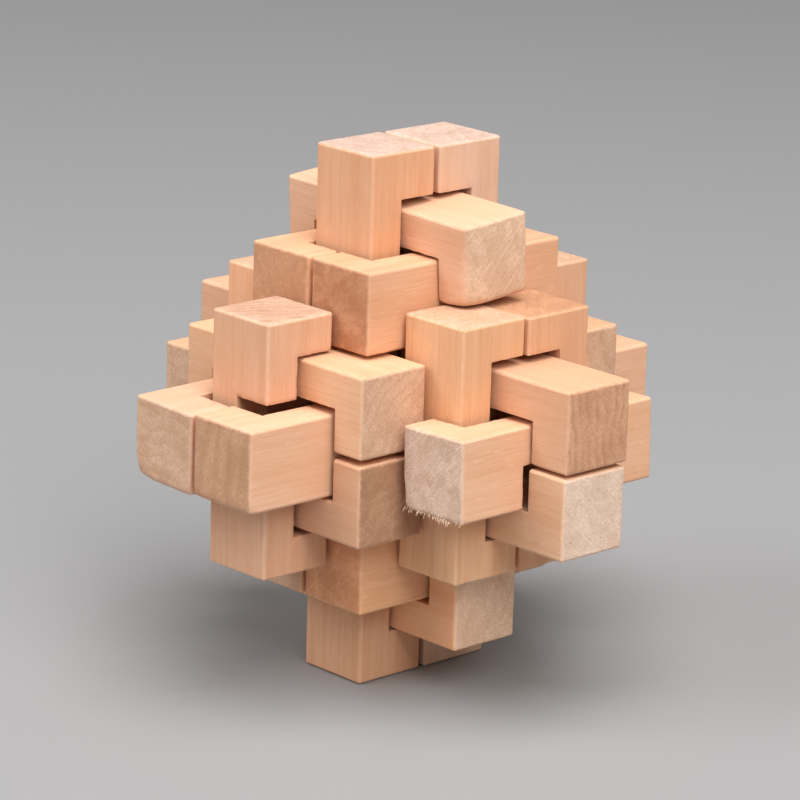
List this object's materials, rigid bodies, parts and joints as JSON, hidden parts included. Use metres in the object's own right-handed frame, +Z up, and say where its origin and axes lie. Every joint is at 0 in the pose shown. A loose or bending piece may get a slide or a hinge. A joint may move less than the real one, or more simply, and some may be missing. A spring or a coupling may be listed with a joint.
{
  "type": "interlocking burr puzzle",
  "caption": "Wooden burr puzzle of loose, square, notched sticks in three crossing directions that lock each other into a stepped, eight-sided ball without glue.",
  "frame": {"origin": "middle of the bounding box, to within 0.3 mm because the sticks lie loose, at the height of the flat end faces of the upright long pair, which the puzzle stands on", "axes": "+Z up along the upright pair; +X right, along the crosswise sticks; -Y front, along the lengthwise sticks, so that the two keys are at the front and at the right"},
  "size_m": [0.0716, 0.0717, 0.0716],
  "materials": {
    "long_stick_wood": "bare sanded hardwood, fine straight grain",
    "short_stick_wood": "bare sanded hardwood, fine straight grain",
    "lock_stick_wood": "bare sanded hardwood, fine straight grain",
    "key_stick_wood": "bare sanded hardwood, fine straight grain"
  },
  "bodies": {
    "root": {"lock_crosswise_bottom": "lock_stick_wood", "lock_crosswise_top": "lock_stick_wood", "lock_lengthwise_left": "lock_stick_wood", "lock_upright_back": "lock_stick_wood", "long_crosswise_top": "long_stick_wood", "long_lengthwise_left": "long_stick_wood", "long_upright_back": "long_stick_wood", "long_upright_front": "long_stick_wood", "short_crosswise_back_bottom": "short_stick_wood", "short_crosswise_back_top": "short_stick_wood", "short_crosswise_front_bottom": "short_stick_wood", "short_crosswise_front_top": "short_stick_wood", "short_lengthwise_bottom_left": "short_stick_wood", "short_lengthwise_bottom_right": "short_stick_wood", "short_lengthwise_top_left": "short_stick_wood", "short_lengthwise_top_right": "short_stick_wood", "short_upright_left_back": "short_stick_wood", "short_upright_left_front": "short_stick_wood", "short_upright_right_back": "short_stick_wood", "short_upright_right_front": "short_stick_wood"},
    "sliding_long_lengthwise": {"long_lengthwise_right": "long_stick_wood"},
    "sliding_long_crosswise": {"long_crosswise_bottom": "long_stick_wood"},
    "front_key": {"key_upright_front": "key_stick_wood"},
    "right_key": {"key_lengthwise_right": "key_stick_wood"}
  },
  "joints": [
    {"name": "long_lengthwise_slide", "type": "slide", "parent": "root", "child": "sliding_long_lengthwise", "axis": [0, 1, 0], "range_m": [0, 0.0174]},
    {"name": "long_crosswise_slide", "type": "slide", "parent": "root", "child": "sliding_long_crosswise", "axis": [-1, 0, 0], "range_m": [0, 0.0174]},
    {"name": "front_key_slide", "type": "slide", "parent": "root", "child": "front_key", "axis": [1, 0, 0], "range_m": [0, 0.0058]},
    {"name": "right_key_slide", "type": "slide", "parent": "root", "child": "right_key", "axis": [0, 0, -1], "range_m": [0, 0.0058]}
  ]
}
